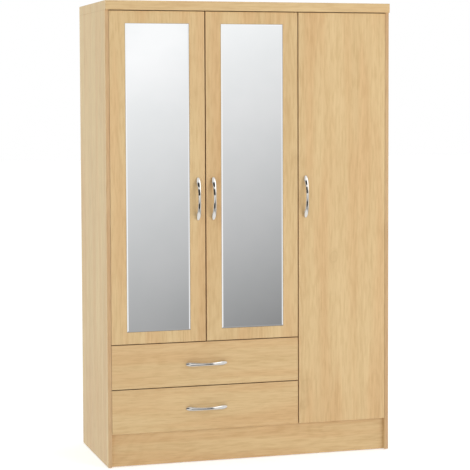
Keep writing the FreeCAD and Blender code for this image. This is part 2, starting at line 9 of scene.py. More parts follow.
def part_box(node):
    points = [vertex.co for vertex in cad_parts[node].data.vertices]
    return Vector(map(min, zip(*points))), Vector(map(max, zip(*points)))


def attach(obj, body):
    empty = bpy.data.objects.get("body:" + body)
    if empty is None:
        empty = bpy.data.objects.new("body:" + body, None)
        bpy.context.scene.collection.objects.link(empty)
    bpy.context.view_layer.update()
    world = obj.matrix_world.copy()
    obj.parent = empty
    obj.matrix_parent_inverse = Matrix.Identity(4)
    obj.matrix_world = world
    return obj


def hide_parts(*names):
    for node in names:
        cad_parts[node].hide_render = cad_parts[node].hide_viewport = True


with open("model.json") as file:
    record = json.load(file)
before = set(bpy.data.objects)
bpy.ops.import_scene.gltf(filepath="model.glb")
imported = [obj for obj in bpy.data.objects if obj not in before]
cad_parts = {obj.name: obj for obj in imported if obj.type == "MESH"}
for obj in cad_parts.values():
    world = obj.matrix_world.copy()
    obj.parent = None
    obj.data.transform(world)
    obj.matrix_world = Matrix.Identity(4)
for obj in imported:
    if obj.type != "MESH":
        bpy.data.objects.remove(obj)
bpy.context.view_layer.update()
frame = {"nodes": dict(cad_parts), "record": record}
BODY_OF_NODE = {node: body for body, nodes in frame["record"]["behaviour"]["bodies"].items()
                for node in nodes}

# ---------------------------------------------------------------- sizes (metres)
MM = 0.001
WELD = 1e-6                 # vertices this close are one
SAME = 1e-5                 # places this close are the same along an axis
TOUCH = 1e-4                # faces this close to a limit lie on it
END_BAND = 3e-4             # how much of a screw's length counts as its end
FLAT = math.radians(0.5)    # faces that turn less than this are one flat face
SHARP = math.radians(35)    # edges that turn more than this stay sharp
ARRIS = 0.7 * MM            # rubbed corner of a board
SOFT_CORNER = 0.25 * MM     # corner of a small fitting
# Half of the bow, from its tip to its middle: distance along, height of the
# centre line, width and thickness.
HANDLE_STATIONS = ((0.084, 0.0022, 0.0060, 0.0026), (0.080, 0.0042, 0.0108, 0.0036),
                   (0.072, 0.0086, 0.0144, 0.0044), (0.060, 0.0144, 0.0148, 0.0048),
                   (0.042, 0.0206, 0.0126, 0.0048), (0.020, 0.0246, 0.0108, 0.0048),
                   (0.000, 0.0256, 0.0104, 0.0048))
HANDLE_CENTRES = 0.128
HANDLE_STEPS = 72
POST_RADIUS = 5 * MM
ROLLER_SIDES = 40
ROLLER_DIAMETER = 20.0
STUDIO_FLOOR_REACH = 30.0
FLOOR_GLOW = 0.45


def tone(red, green, blue):
    """Linear colour from the 0 to 255 values of a paint chip."""
    def linear(value):
        value = value / 255.0
        return value / 12.92 if value <= 0.04045 else ((value + 0.055) / 1.055) ** 2.4
    return (linear(red), linear(green), linear(blue), 1.0)


# ---------------------------------------------------------------- shader writing
class Value:
    """A shader socket that plain arithmetic works on."""

    def __init__(self, finish, socket):
        self.finish = finish
        self.socket = socket

    def _math(self, operation, first, second):
        return self.finish.node("ShaderNodeMath", {"operation": operation}, {0: first, 1: second})

    def __add__(self, other):
        return self._math("ADD", self, other)

    def __radd__(self, other):
        return self._math("ADD", other, self)

    def __sub__(self, other):
        return self._math("SUBTRACT", self, other)

    def __rsub__(self, other):
        return self._math("SUBTRACT", other, self)

    def __mul__(self, other):
        return self._math("MULTIPLY", self, other)

    def __rmul__(self, other):
        return self._math("MULTIPLY", other, self)


class Finish:
    """One material, or the world, being built node by node."""

    def __init__(self, name, world=False):
        if world:
            self.data = bpy.data.worlds.new(name)
        else:
            self.data = bpy.data.materials.new(name)
        self.data.use_nodes = True
        self.tree = self.data.node_tree
        self.tree.nodes.clear()

    def node(self, kind, settings=None, inputs=None, out=0):
        """Any node: its settings first, then the values or links of its sockets."""
        made = self.tree.nodes.new(kind)
        for key, value in (settings or {}).items():
            setattr(made, key, value)
        for key, value in (inputs or {}).items():
            socket = made.inputs[key]
            if isinstance(value, Value):
                self.tree.links.new(value.socket, socket)
            else:
                socket.default_value = value
        return Value(self, made.outputs[out]) if made.outputs else None

    def split(self, vector):
        return [self.node("ShaderNodeSeparateXYZ", None, {0: vector}, out=i) for i in range(3)]

    def join(self, x, y, z):
        return self.node("ShaderNodeCombineXYZ", None, {0: x, 1: y, 2: z})

    def sine(self, value):
        return self.node("ShaderNodeMath", {"operation": "SINE"}, {0: value})

    def noise(self, vector, scale=1.0, detail=2.0, roughness=0.5, distortion=0.0):
        return self.node("ShaderNodeTexNoise", {"noise_dimensions": "3D"},
                         {"Vector": vector, "Scale": scale, "Detail": detail,
                          "Roughness": roughness, "Distortion": distortion})

    def spread(self, value, low, high, to_low=0.0, to_high=1.0):
        """Stretch low..high to to_low..to_high with soft ends."""
        return self.node("ShaderNodeMapRange", {"interpolation_type": "SMOOTHSTEP"},
                         {0: value, 1: low, 2: high, 3: to_low, 4: to_high})

    def blend(self, amount, first, second, how="MIX"):
        return self.node("ShaderNodeMix", {"data_type": "RGBA", "blend_type": how},
                         {0: amount, 6: first, 7: second}, out=2)

    def bump(self, height, distance, strength=1.0):
        return self.node("ShaderNodeBump", None,
                         {"Height": height, "Distance": distance, "Strength": strength})

    def surface(self, **inputs):
        """The usual shader, joined to the output."""
        named = {key.replace("_", " "): value for key, value in inputs.items()}
        shader = self.node("ShaderNodeBsdfPrincipled", None, named)
        self.node("ShaderNodeOutputMaterial", None, {0: shader})
        return self.data


def place(finish):
    return finish.node("ShaderNodeTexCoord", None, None, out=3)


# ---------------------------------------------------------------- materials
def oak_foil(name, grain, light, dark, wear=True):
    """Oak-effect foil: grain is the axis the figure runs along."""
    f = Finish(name)
    x, y, z = f.split(place(f))
    along = {"x": x, "y": y, "z": z}[grain]
    first, second = {"x": (y, z), "y": (x, z), "z": (x, y)}[grain]

    def stretched(across_scale, along_scale, shift=0.0):
        return f.join(first * across_scale + shift, second * across_scale + shift * 0.7,
                      along * along_scale)

    plank = f.noise(stretched(8.0, 0.8, 3.1), detail=1.0)
    streak = f.noise(stretched(34.0, 1.3, 1.3), detail=4.0, roughness=0.6)
    fibre = f.noise(stretched(300.0, 9.0, 5.2), detail=2.0, roughness=0.6)
    dash = f.noise(stretched(120.0, 14.0, 9.3), detail=2.0, roughness=0.55)
    pore_field = f.noise(stretched(800.0, 42.0, 2.6), detail=1.0)
    arch = f.noise(stretched(5.0, 1.3, 8.4), detail=1.0, distortion=0.5)
    contour = f.sine(arch * 80.0 + streak * 3.0)
    figure = f.spread(contour, -0.1, 1.0) * f.spread(plank, 0.48, 0.62)
    pores = f.spread(pore_field, 0.66, 0.74) * f.spread(streak, 0.35, 0.6)
    knot_field = f.noise(stretched(8.0, 4.5, 21.7), detail=1.5, roughness=0.6)
    knots = f.spread(knot_field, 0.66, 0.80)
    knot_rings = f.spread(f.sine(knot_field * 120.0), 0.0, 1.0) * knots

    depth = f.spread(streak, 0.28, 0.74) * 0.28 + f.spread(plank, 0.3, 0.7) * 0.16
    depth = depth + figure * 0.12 + f.spread(fibre, 0.35, 0.7) * 0.22
    depth = depth + f.spread(dash, 0.42, 0.68) * 0.30
    colour = f.blend(depth, light, dark)
    warm = f.spread(f.noise(stretched(16.0, 1.4, 6.6), detail=1.5), 0.38, 0.66)
    colour = f.blend(warm * 0.20, colour, tone(238, 190, 158), "MULTIPLY")
    colour = f.blend(pores * 0.24, colour, tone(150, 112, 70))
    colour = f.blend(knots * 0.16 + knot_rings * 0.12, colour, tone(166, 126, 80))
    if wear:
        edge = f.node("ShaderNodeAttribute", {"attribute_name": "wear"}, None, out=2)
        patch = f.spread(f.noise(place(f), scale=38.0, detail=2.0), 0.45, 0.62)
        colour = f.blend(edge * (patch * 0.30 + 0.15), colour, tone(182, 146, 102))
    shine = 0.42 + fibre * 0.10 - figure * 0.03 + pores * 0.08
    height = fibre * 0.5 - pores * 1.0 + figure * 0.25
    return f.surface(Base_Color=colour, Roughness=shine, Normal=f.bump(height, 0.00012, 0.6))


def raw_board(name):
    """Chipboard edge: pressed chips of several browns."""
    f = Finish(name)
    chips = f.noise(place(f), scale=420.0, detail=3.0, roughness=0.7)
    cells = f.node("ShaderNodeTexVoronoi", {"feature": "F1"}, {"Vector": place(f), "Scale": 520.0},
                   out=1)
    grey = f.node("ShaderNodeRGBToBW", None, {0: cells})
    mixed = f.spread(chips * 0.6 + grey * 0.4, 0.3, 0.7)
    colour = f.blend(mixed, tone(196, 164, 118), tone(134, 98, 62))
    return f.surface(Base_Color=colour, Roughness=0.85 - mixed * 0.1,
                     Normal=f.bump(mixed, 0.0004, 0.8))


def hardboard(name):
    """Back of a thin fibre board: brown, matt, with a fine screen mark; no two boards match."""
    f = Finish(name)
    x, y, z = f.split(place(f))
    screen = f.sine(x * 2600.0) * f.sine(z * 2600.0)
    cloud = f.noise(place(f), scale=2.2, detail=5.0, roughness=0.6)
    fleck = f.noise(place(f), scale=210.0, detail=3.0, roughness=0.7)
    scuff = f.noise(f.join(x * 14.0, y * 14.0, z * 70.0), detail=3.0, distortion=0.8)
    colour = f.blend(f.spread(cloud, 0.3, 0.7), tone(172, 134, 94), tone(160, 121, 83))
    colour = f.blend(f.spread(x, 0.1965, 0.1985) * 0.35, colour, tone(184, 146, 106))
    colour = f.blend(f.spread(fleck, 0.50, 0.72) * 0.45, colour, tone(118, 84, 54))
    colour = f.blend(f.spread(scuff, 0.62, 0.70) * 0.25, colour, tone(196, 164, 128))
    return f.surface(Base_Color=colour, Roughness=0.76 + cloud * 0.12,
                     Normal=f.bump(screen * 0.5 + fleck, 0.0002, 0.5))


def silvered_glass(name):
    """Mirror: bright silver under clear glass, with a faint film and specks of dust."""
    f = Finish(name)
    film = f.noise(place(f), scale=3.0, detail=3.0, roughness=0.6)
    dust = f.spread(f.noise(place(f), scale=900.0, detail=1.0), 0.70, 0.80)
    colour = f.blend(f.spread(film, 0.3, 0.7), tone(250, 251, 252), tone(245, 247, 248))
    colour = f.blend(dust * 0.08, colour, tone(205, 205, 200))
    return f.surface(Base_Color=colour, Metallic=1.0, Roughness=0.015 + dust * 0.05 + film * 0.012)


def glass_edge(name):
    """Ground edge of a glass sheet: greenish and frosted."""
    f = Finish(name)
    ground = f.noise(place(f), scale=700.0, detail=2.0)
    colour = f.blend(ground, tone(120, 148, 138), tone(168, 190, 180))
    return f.surface(Base_Color=colour, Roughness=0.35 + ground * 0.25,
                     Normal=f.bump(ground, 0.0001, 0.4))


def polished_chrome(name):
    """Polished plating with finger smears and a few pits, its colour warmed by a painted reflection
    of the oak around it.
    """
    f = Finish(name)
    smear = f.noise(place(f), scale=60.0, detail=3.0, roughness=0.6)
    pit = f.spread(f.noise(place(f), scale=1500.0, detail=1.0), 0.72, 0.8)
    # Both tones are warm: a painted reflection of the oak around the chrome.
    colour = f.blend(smear, tone(230, 227, 221), tone(218, 216, 212))
    return f.surface(Base_Color=colour, Metallic=1.0, Roughness=0.05 + smear * 0.06 + pit * 0.2,
                     Normal=f.bump(smear, 0.00005, 0.25))


def plated_steel(name, light=(205, 206, 208), dark=(172, 174, 178), rough=0.26):
    """Bright plated steel with rolling marks and small scuffs."""
    f = Finish(name)
    x, y, z = f.split(place(f))
    rolled = f.noise(f.join(x * 40.0, y * 900.0, z * 900.0), detail=2.0)
    cloud = f.noise(place(f), scale=45.0, detail=3.0)
    scuff = f.spread(f.noise(place(f), scale=240.0, detail=3.0, distortion=1.0), 0.62, 0.7)
    colour = f.blend(f.spread(cloud, 0.3, 0.7), tone(*light), tone(*dark))
    colour = f.blend(scuff * 0.3, colour, tone(120, 120, 122))
    return f.surface(Base_Color=colour, Metallic=1.0,
                     Roughness=rough + cloud * 0.12 + scuff * 0.12,
                     Normal=f.bump(rolled, 0.00008, 0.3))


def white_paint(name):
    """Powder coat: faint orange peel, rubbed grey in places."""
    f = Finish(name)
    peel = f.noise(place(f), scale=420.0, detail=2.0)
    cloud = f.noise(place(f), scale=18.0, detail=3.0)
    colour = f.blend(f.spread(cloud, 0.4, 0.75), tone(232, 231, 226), tone(214, 213, 208))
    return f.surface(Base_Color=colour, Roughness=0.35 + cloud * 0.15,
                     Normal=f.bump(peel, 0.00015, 0.5))


def nylon(name):
    """White moulded nylon, a little grimy."""
    f = Finish(name)
    grain = f.noise(place(f), scale=600.0, detail=2.0)
    grime = f.spread(f.noise(place(f), scale=90.0, detail=2.0), 0.5, 0.75)
    colour = f.blend(grime * 0.4, tone(232, 231, 224), tone(190, 188, 180))
    return f.surface(Base_Color=colour, Roughness=0.45 + grain * 0.15,
                     Normal=f.bump(grain, 0.0001, 0.4))


def beech(name):
    """Short-grained pale wood of a dowel."""
    f = Finish(name)
    fleck = f.noise(place(f), scale=500.0, detail=2.0)
    colour = f.blend(fleck, tone(222, 190, 150), tone(196, 156, 112))
    return f.surface(Base_Color=colour, Roughness=0.6 + fleck * 0.1)


OAK = {axis: oak_foil("oak_foil_along_" + axis, axis, tone(222, 193, 144), tone(198, 163, 113))
       for axis in "xyz"}
# Edge tape: the tape is real, but its tone is darkened with painted shade so that the gaps round
# the doors and drawer fronts and the side panels' front edges look shaded.
TAPE_AND_GAP_SHADE = {axis: oak_foil("edge_tape_and_gap_shade_along_" + axis, axis, tone(208, 174, 130), tone(184, 146, 104))
        for axis in "xyz"}
PRINT = {axis: oak_foil("printed_oak_along_" + axis, axis, tone(220, 196, 156), tone(202, 172, 128),
                        wear=False) for axis in "xyz"}
RAW = raw_board("chipboard_edge")
FIBRE = hardboard("hardboard_back")
MIRROR = silvered_glass("silvered_mirror")
GLASS_EDGE = glass_edge("ground_glass_edge")
CHROME_PAINTED_REFLECTION = polished_chrome("polished_chrome")
STEEL = plated_steel("bright_steel")
ZINC = plated_steel("zinc_casting", (176, 178, 180), (140, 142, 146), 0.42)
PAINT = white_paint("white_paint")
NYLON = nylon("white_nylon")
BEECH = beech("beech_dowel")


# ---------------------------------------------------------------- piece helpers
def finish_piece(mesh, name, body, node_names, smooth=False):
    """Link a mesh as a piece of the wardrobe, in place of the named nodes."""
    piece = bpy.data.objects.new(name, mesh)
    bpy.context.scene.collection.objects.link(piece)
    for face in mesh.polygons:
        face.use_smooth = smooth
    if smooth:
        mesh.set_sharp_from_angle(angle=SHARP)
    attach(piece, body)
    if node_names:
        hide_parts(*node_names)
    return piece


def merged_copy(node):
    """A welded copy of a node's mesh, with flat faces joined up."""
    bm = bmesh.new()
    bm.from_mesh(frame["nodes"][node].data)
    bmesh.ops.remove_doubles(bm, verts=bm.verts, dist=WELD)
    bmesh.ops.dissolve_limit(bm, angle_limit=FLAT, verts=bm.verts, edges=bm.edges,
                             use_dissolve_boundaries=False)
    return bm


def islands(bm):
    """Lists of the vertices of each separate solid."""
    seen = set()
    groups = []
    for start in bm.verts:
        if start in seen:
            continue
        seen.add(start)
        group, queue = [], [start]
        while queue:
            vert = queue.pop()
            group.append(vert)
            for edge in vert.link_edges:
                other = edge.other_vert(vert)
                if other not in seen:
                    seen.add(other)
                    queue.append(other)
        groups.append(group)
    return groups


def corners_of(points):
    low = [min(p[i] for p in points) for i in range(3)]
    high = [max(p[i] for p in points) for i in range(3)]
    return low, high


def outer_edges(group, low, high):
    """Edges that lie along the outer box of one solid."""
    found = set()
    for vert in group:
        for edge in vert.link_edges:
            a, b = edge.verts[0].co, edge.verts[1].co
            run = [abs(a[i] - b[i]) > SAME for i in range(3)]
            if sum(run) != 1:
                continue
            at_limit = sum(1 for i in range(3) if not run[i]
                           and (abs(a[i] - low[i]) < SAME or abs(a[i] - high[i]) < SAME))
            if at_limit == 2:
                found.add(edge)
    return found


DIRECTIONS = {"+x": (0, 1), "-x": (0, -1), "+y": (1, 1), "-y": (1, -1), "+z": (2, 1), "-z": (2, -1)}


def side_of(face, limits):
    """Which outer side of its solid a face lies on, as a name such as "-y", or None."""
    middle = face.calc_center_median()
    for name, (axis, sign) in DIRECTIONS.items():
        if face.normal[axis] * sign < 0.95:
            continue
        for low, high in limits:
            inside = all(low[i] - TOUCH < middle[i] < high[i] + TOUCH for i in range(3))
            if inside and abs(middle[axis] - (high if sign > 0 else low)[axis]) < TOUCH:
                return name
    return None


FOIL, BARE, TAPED_AND_SHADED, UPRIGHT = range(4)


def board(node, grain, raw=(), tape_and_shade=(), upright=(), arris=ARRIS):
    """A board: foil on its faces, tape on its edges with its tone darkened by painted shade, bare
    chipboard on hidden and bored ones.
    """
    bm = merged_copy(node)
    layer = bm.faces.layers.float.new("wear")
    edges = set()
    limits = []
    for group in islands(bm):
        low, high = corners_of([vert.co for vert in group])
        limits.append((low, high))
        edges |= outer_edges(group, low, high)
    made = bmesh.ops.bevel(bm, geom=list(edges), offset=arris, segments=2, profile=0.6,
                           affect="EDGES", clamp_overlap=True)
    softened = set(made["faces"])
    for face in bm.faces:
        if face in softened:
            face[layer] = 1.0
            continue
        side = side_of(face, limits)
        # Taped sides get the tape tone, darkened with painted shade.
        if side in tape_and_shade:
            face.material_index = TAPED_AND_SHADED
        elif side in upright:
            face.material_index = UPRIGHT
        elif side in raw or side is None:
            face.material_index = BARE
        else:
            face.material_index = FOIL
    mesh = bpy.data.meshes.new(node + "_shape")
    bm.to_mesh(mesh)
    bm.free()
    for material in (OAK[grain], RAW, TAPE_AND_GAP_SHADE[grain], OAK["z"]):
        mesh.materials.append(material)
    return finish_piece(mesh, node + "_board", BODY_OF_NODE[node], [node])


# ---------------------------------------------------------------- boards
# Door and drawer-front edges: their tape carries painted shade that darkens the gaps between the
# fronts.
DOOR_EDGES = ("-x", "+x", "-z", "+z")
# Each board's grain, then its bare sides, its taped sides, whose tape tone is darkened
# with painted shade, and the sides whose figure runs upright.
BOARDS = {
    "left_side_panel": ("z", ("+y", "-z"), ("-y",)),
    "right_side_panel": ("z", ("+y", "-z"), ("-y",)),
    "centre_partition": ("z", ("+y", "-z", "+z"), ("-y",)),
    "top_panel": ("x", ("+y",), (), ("-x", "+x")),
    "base_panel": ("x", ("+y",), ("-y",)),
    "front_plinth": ("x", ("-z",), ()),
    "rear_plinth": ("x", ("-z",), ()),
    "plinth_stretcher": ("y", ("-z",), ()),
    "drawer_bay_shelf": ("x", ("+y",), ("-y",)),
    "hat_shelf": ("x", ("+y",), ("-y",)),
    "right_fixed_shelf": ("x", ("+y",), ("-y",)),
    "right_loose_shelves": ("x", ("+y",), ("-y",)),
    "left_door_panel": ("z", (), DOOR_EDGES),
    "middle_door_panel": ("z", (), DOOR_EDGES),
    "right_door_panel": ("z", (), DOOR_EDGES),
}
for drawer in ("lower_drawer", "upper_drawer"):
    BOARDS[drawer + "_front"] = ("x", (), DOOR_EDGES)
    BOARDS[drawer + "_sides"] = ("y", ("-z", "+y"), ("+z",))
    BOARDS[drawer + "_back"] = ("x", ("-z",), ("+z",))

for node, finish in BOARDS.items():
    board(node, *finish)


def thin_board(node, grain, print_side):
    """Fibre board with one printed face."""
    axis, sign = DIRECTIONS[print_side]
    bm = merged_copy(node)
    for face in bm.faces:
        face.material_index = 0 if face.normal[axis] * sign > 0.9 else 1
    mesh = bpy.data.meshes.new(node + "_shape")
    bm.to_mesh(mesh)
    bm.free()
    mesh.materials.append(PRINT[grain])
    mesh.materials.append(FIBRE)
    return finish_piece(mesh, node + "_sheet", BODY_OF_NODE[node], [node])


thin_board("back_panel_left", "z", "-y")
thin_board("back_panel_right", "z", "-y")
thin_board("lower_drawer_base", "x", "+z")
thin_board("upper_drawer_base", "x", "+z")


# ---------------------------------------------------------------- mirrors
def mirror(node):
    """Glass sheet: silvered front and bevels, ground edges."""
    bm = merged_copy(node)
    for face in bm.faces:
        front = face.normal.y < -0.05
        face.material_index = 0 if front else 1
    mesh = bpy.data.meshes.new(node + "_shape")
    bm.to_mesh(mesh)
    bm.free()
    mesh.materials.append(MIRROR)
    mesh.materials.append(GLASS_EDGE)
    return finish_piece(mesh, node + "_glass", BODY_OF_NODE[node], [node])


mirror("left_door_mirror")
mirror("middle_door_mirror")


# ---------------------------------------------------------------- handles
def smooth_between(values, t):
    """Value at t on a smooth line through evenly numbered values."""
    last = len(values) - 1
    i = min(int(t), last - 1)
    u = t - i
    p = [values[min(max(i + k, 0), last)] for k in (-1, 0, 1, 2)]
    return 0.5 * (2 * p[1] + (p[2] - p[0]) * u + (2 * p[0] - 5 * p[1] + 4 * p[2] - p[3]) * u * u
                  + (3 * p[1] - p[0] - 3 * p[2] + p[3]) * u ** 3)


def bow_line(steps):
    """Places along the bow: distance along, height, width, thickness."""
    half = list(HANDLE_STATIONS)
    whole = half + [(-s, h, w, t) for s, h, w, t in half[-2::-1]]
    count = len(whole) - 1
    line = []
    for i in range(steps + 1):
        t = count * i / steps
        line.append([smooth_between([row[k] for row in whole], t) for k in range(4)])
    return line


def add_ring(bm, centre, side, up, wide, thick, points):
    ring = []
    for k in range(points):
        a = 2 * math.pi * k / points
        c, s = math.cos(a), math.sin(a)
        c = math.copysign(abs(c) ** 0.85, c)
        s = math.copysign(abs(s) ** 0.85, s)
        ring.append(bm.verts.new(centre + side * (c * wide / 2) + up * (s * thick / 2)))
    return ring


def skin(bm, rings):
    for a, b in zip(rings, rings[1:]):
        n = len(a)
        for k in range(n):
            bm.faces.new((a[k], a[(k + 1) % n], b[(k + 1) % n], b[k]))
    bm.faces.new(list(reversed(rings[0])))
    bm.faces.new(rings[-1])


def bow_handle(node, along, across):
    """Bow handle: leaf-shaped ends, a narrow waist and two turned posts."""
    low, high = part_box(node)
    low, high = Vector(low), Vector(high)
    middle = (low + high) / 2
    middle.y = high.y
    out = Vector((0, -1, 0))
    bm = bmesh.new()
    line = bow_line(HANDLE_STEPS)
    rings = []
    for i, (s, h, w, t) in enumerate(line):
        before, after = line[max(i - 1, 0)], line[min(i + 1, len(line) - 1)]
        run = (along * (after[0] - before[0]) + out * (after[1] - before[1])).normalized()
        up = run.cross(across).normalized()
        ends = min(1.0, 0.35 + 0.65 * min(i, len(line) - 1 - i) / 2.0)
        rings.append(add_ring(bm, middle + along * s + out * h, across, up, w * ends, t * ends, 24))
    skin(bm, rings)
    for way in (-1, 1):
        foot = middle + along * (way * HANDLE_CENTRES / 2)
        profile = ((0.0, 1.18), (0.0008, 1.2), (0.0016, 1.05), (0.0025, 0.98), (0.0090, 0.92),
                   (0.0112, 0.95))
        posts = [add_ring(bm, foot + out * h, along, across, POST_RADIUS * 2 * r,
                          POST_RADIUS * 2 * r, 20) for h, r in profile]
        skin(bm, posts)
    bmesh.ops.recalc_face_normals(bm, faces=bm.faces)
    mesh = bpy.data.meshes.new(node + "_shape")
    bm.to_mesh(mesh)
    bm.free()
    mesh.materials.append(CHROME_PAINTED_REFLECTION)
    return finish_piece(mesh, node + "_bow", BODY_OF_NODE[node], [node], True)


UP, RIGHT = Vector((0, 0, 1)), Vector((1, 0, 0))
for side in ("left", "middle", "right"):
    bow_handle(side + "_door_handle", UP, RIGHT)
for side in ("lower", "upper"):
    bow_handle(side + "_drawer_handle", RIGHT, UP)


# ---------------------------------------------------------------- metal, nylon and beech parts
# Head width and length of every screw, in millimetres.
SCREW_SIZES = {(5.2, 12.1), (5.2, 15.1), (6.8, 12.2), (7.2, 14.2), (7.2, 35.6), (7.6, 14.0),
               (7.6, 17.8), (7.8, 25.2)}


def size_of(group):
    """Width and length of a turned solid in millimetres, and its long axis."""
    low, high = corners_of([vert.co for vert in group])
    spans = [(high[i] - low[i]) * 1000 for i in range(3)]
    long_axis = spans.index(max(spans))
    return (round(min(spans), 1), round(max(spans), 1)), long_axis


def rounded_shape(node, soften, skip_screws):
    """A welded copy of a node with softened corners."""
    bm = merged_copy(node)
    if skip_screws:
        gone = [vert for group in islands(bm) if size_of(group)[0] in SCREW_SIZES for vert in group]
        bmesh.ops.delete(bm, geom=gone, context="VERTS")
    corners = [edge for edge in bm.edges if len(edge.link_faces) == 2
               and edge.calc_face_angle(0.0) > SHARP]
    if soften:
        bmesh.ops.bevel(bm, geom=corners, offset=soften, segments=1, affect="EDGES",
                        clamp_overlap=True)
    return bm


# ---------------------------------------------------------------- repeated parts
def repeat_group(name, shape, material):
    """Node group that puts a shape at every point of a mesh, turned to the point's aim."""
    group = bpy.data.node_groups.new(name, "GeometryNodeTree")
    group.interface.new_socket("Geometry", in_out="INPUT", socket_type="NodeSocketGeometry")
    size = group.interface.new_socket("Size", in_out="INPUT", socket_type="NodeSocketFloat")
    size.default_value = 1.0
    group.interface.new_socket("Geometry", in_out="OUTPUT", socket_type="NodeSocketGeometry")
    make, link = group.nodes.new, group.links.new
    start, end = make("NodeGroupInput"), make("NodeGroupOutput")
    points = make("GeometryNodeMeshToPoints")
    info = make("GeometryNodeObjectInfo")
    info.inputs["Object"].default_value = shape
    aim = make("GeometryNodeInputNamedAttribute")
    aim.data_type = "FLOAT_VECTOR"
    aim.inputs["Name"].default_value = "aim"
    turn = make("FunctionNodeAlignRotationToVector")
    turn.axis = "Z"
    spin = make("FunctionNodeRandomValue")
    spin.data_type = "FLOAT"
    spin.inputs["Min"].default_value = 0.0
    spin.inputs["Max"].default_value = math.tau
    spin.inputs["Seed"].default_value = 7
    twist = make("FunctionNodeAxisAngleToRotation")
    twist.inputs["Axis"].default_value = (0, 0, 1)
    both = make("FunctionNodeRotateRotation")
    both.rotation_space = "LOCAL"
    copies = make("GeometryNodeInstanceOnPoints")
    solid = make("GeometryNodeRealizeInstances")
    paint = make("GeometryNodeSetMaterial")
    paint.inputs["Material"].default_value = material
    link(start.outputs[0], points.inputs["Mesh"])
    link(points.outputs[0], copies.inputs["Points"])
    link(info.outputs["Geometry"], copies.inputs["Instance"])
    link(aim.outputs["Attribute"], turn.inputs["Vector"])
    link(spin.outputs["Value"], twist.inputs["Angle"])
    link(turn.outputs[0], both.inputs[0])
    link(twist.outputs[0], both.inputs[1])
    link(both.outputs[0], copies.inputs["Rotation"])
    link(start.outputs[1], copies.inputs["Scale"])
    link(copies.outputs[0], solid.inputs[0])
    link(solid.outputs[0], paint.inputs["Geometry"])
    link(paint.outputs[0], end.inputs[0])
    return group, size.identifier


def repeated(name, shape, material, spots, size=1.0):
    """Mesh of copies of a shape at spots (seat, aim)."""
    mesh = bpy.data.meshes.new(name + "_spots")
    mesh.from_pydata([seat for seat, aim in spots], [], [])
    layer = mesh.attributes.new("aim", "FLOAT_VECTOR", "POINT")
    for i, (seat, aim) in enumerate(spots):
        layer.data[i].vector = aim
    holder = bpy.data.objects.new(name + "_spots", mesh)
    bpy.context.scene.collection.objects.link(holder)
    bpy.context.scene.collection.objects.link(shape)
    group, identifier = repeat_group(name + "_layout", shape, material)
    modifier = holder.modifiers.new("layout", "NODES")
    modifier.node_group = group
    modifier[identifier] = size
    bpy.context.view_layer.update()
    graph = bpy.context.evaluated_depsgraph_get()
    plain = bpy.data.meshes.new_from_object(holder.evaluated_get(graph))
    for used in (holder, shape):
        data = used.data
        bpy.data.objects.remove(used)
        bpy.data.meshes.remove(data)
    return plain


def circle(bm, radius, height, sides):
    return [bm.verts.new((radius * math.cos(math.tau * k / sides),
                          radius * math.sin(math.tau * k / sides), height))
            for k in range(sides)]


def turned(bm, profile, sides, open_top=False):
    """Rings of a turned shape from (radius, height) pairs; closed at the ends."""
    rings = [circle(bm, radius, height, sides) for radius, height in profile]
    for a, b in zip(rings, rings[1:]):
        for k in range(sides):
            bm.faces.new((a[k], a[(k + 1) % sides], b[(k + 1) % sides], b[k]))
    if not open_top:
        bm.faces.new(list(reversed(rings[0])))
    bm.faces.new(rings[-1])
    return rings


def as_object(bm, name):
    bmesh.ops.recalc_face_normals(bm, faces=bm.faces)
    mesh = bpy.data.meshes.new(name)
    bm.to_mesh(mesh)
    bm.free()
    return bpy.data.objects.new(name, mesh)


def cross_recess(bm, rim, arm, half, depth):
    """Driver recess in a screw's flat top, inside the rim."""
    outline = []
    for k in range(4):
        a = math.tau * k / 4
        for along, side in ((half, -half), (arm, -half), (arm, half)):
            outline.append((along * math.cos(a) - side * math.sin(a),
                            along * math.sin(a) + side * math.cos(a)))
    top = [bm.verts.new((x, y, 0.0)) for x, y in outline]
    low = [bm.verts.new((x * 0.72, y * 0.72, -depth)) for x, y in outline]
    count = len(top)
    border = [bm.edges.new((top[k], top[(k + 1) % count])) for k in range(count)]
    border += [bm.edges.get((rim[k], rim[(k + 1) % len(rim)])) for k in range(len(rim))]
    bmesh.ops.triangle_fill(bm, edges=border, use_beauty=True)
    for k in range(count):
        bm.faces.new((top[k], top[(k + 1) % count], low[(k + 1) % count], low[k]))
    bmesh.ops.triangulate(bm, faces=[bm.faces.new(low)])


def screw_shape(name, radius, length, head, shank):
    bm = bmesh.new()
    profile = ((0.74 * radius, 0.0), (0.84 * radius, -0.10 * head), (0.95 * radius, -0.42 * head),
               (radius, -0.80 * head), (0.985 * radius, -head), (shank, -head),
               (shank, 2 * shank - length), (0.3 * shank, -length))
    rings = turned(bm, profile, 16, open_top=True)
    cross_recess(bm, rings[0], 0.52 * radius, 0.10 * radius, 0.62 * head)
    return as_object(bm, name)


def nail_shape(name, radius, length, head, shank):
    bm = bmesh.new()
    profile = ((0.45 * radius, 0.0), (0.80 * radius, -0.18 * head), (radius, -0.6 * head),
               (0.96 * radius, -head), (shank, -head), (shank, 2 * shank - length),
               (0.2 * shank, -length))
    turned(bm, profile, 14)
    return as_object(bm, name)


